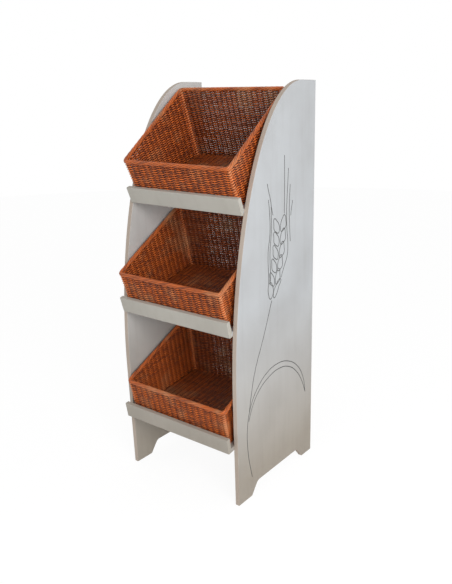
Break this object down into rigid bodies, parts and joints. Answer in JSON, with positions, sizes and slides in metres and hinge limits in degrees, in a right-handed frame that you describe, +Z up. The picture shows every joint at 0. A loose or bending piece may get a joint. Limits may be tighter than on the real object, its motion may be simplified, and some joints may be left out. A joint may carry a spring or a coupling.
{
  "type": "bread display stand",
  "caption": "Free-standing bread stand: curved side panels carry tilted shelves with front lips, and a wicker basket with a slanting rim on each shelf lifts out",
  "frame": {"origin": "On the floor, in the middle of the stand's bounding box.", "axes": "+Z up, -Y the open front where the bread is taken out, +X the stand's right side seen from the front."},
  "size_m": [0.594, 0.5718, 1.6],
  "materials": {
    "panel_finish": "whitewashed board, satin, faint grain",
    "shelf_finish": "whitewashed board, satin",
    "lip_finish": "whitewashed board, satin, light edges",
    "dowel_wood": "plain beech",
    "bolt_steel": "zinc-plated steel",
    "cam_zinc": "die-cast zinc",
    "willow_base": "woven willow, stained red-brown",
    "willow_weave": "woven willow, stained red-brown, lacquered",
    "willow_posts": "willow corner rods, stained red-brown",
    "willow_rim": "plaited willow border, stained red-brown"
  },
  "bodies": {
    "stand": {"side_panel_left": "panel_finish", "side_panel_right": "panel_finish", "top_shelf_board": "shelf_finish", "top_shelf_lip": "lip_finish", "top_shelf_dowels": "dowel_wood", "top_connecting_bolts": "bolt_steel", "top_cam_nuts": "cam_zinc", "middle_shelf_board": "shelf_finish", "middle_shelf_lip": "lip_finish", "middle_shelf_dowels": "dowel_wood", "middle_connecting_bolts": "bolt_steel", "middle_cam_nuts": "cam_zinc", "bottom_shelf_board": "shelf_finish", "bottom_shelf_lip": "lip_finish", "bottom_shelf_dowels": "dowel_wood", "bottom_connecting_bolts": "bolt_steel", "bottom_cam_nuts": "cam_zinc"},
    "top_basket": {"top_basket_base": "willow_base", "top_basket_front_wall": "willow_weave", "top_basket_rear_wall": "willow_weave", "top_basket_left_wall": "willow_weave", "top_basket_right_wall": "willow_weave", "top_basket_corner_posts": "willow_posts", "top_basket_rim": "willow_rim"},
    "middle_basket": {"middle_basket_base": "willow_base", "middle_basket_front_wall": "willow_weave", "middle_basket_rear_wall": "willow_weave", "middle_basket_left_wall": "willow_weave", "middle_basket_right_wall": "willow_weave", "middle_basket_corner_posts": "willow_posts", "middle_basket_rim": "willow_rim"},
    "bottom_basket": {"bottom_basket_base": "willow_base", "bottom_basket_front_wall": "willow_weave", "bottom_basket_rear_wall": "willow_weave", "bottom_basket_left_wall": "willow_weave", "bottom_basket_right_wall": "willow_weave", "bottom_basket_corner_posts": "willow_posts", "bottom_basket_rim": "willow_rim"}
  },
  "joints": [
    {"name": "top_basket_lift", "type": "slide", "parent": "stand", "child": "top_basket", "axis": [0, -0.342, 0.9397], "range_m": [0, 0.35]},
    {"name": "middle_basket_lift", "type": "slide", "parent": "stand", "child": "middle_basket", "axis": [0, -0.2419, 0.9703], "range_m": [0, 0.11]},
    {"name": "bottom_basket_lift", "type": "slide", "parent": "stand", "child": "bottom_basket", "axis": [0, -0.1392, 0.9903], "range_m": [0, 0.18]}
  ]
}
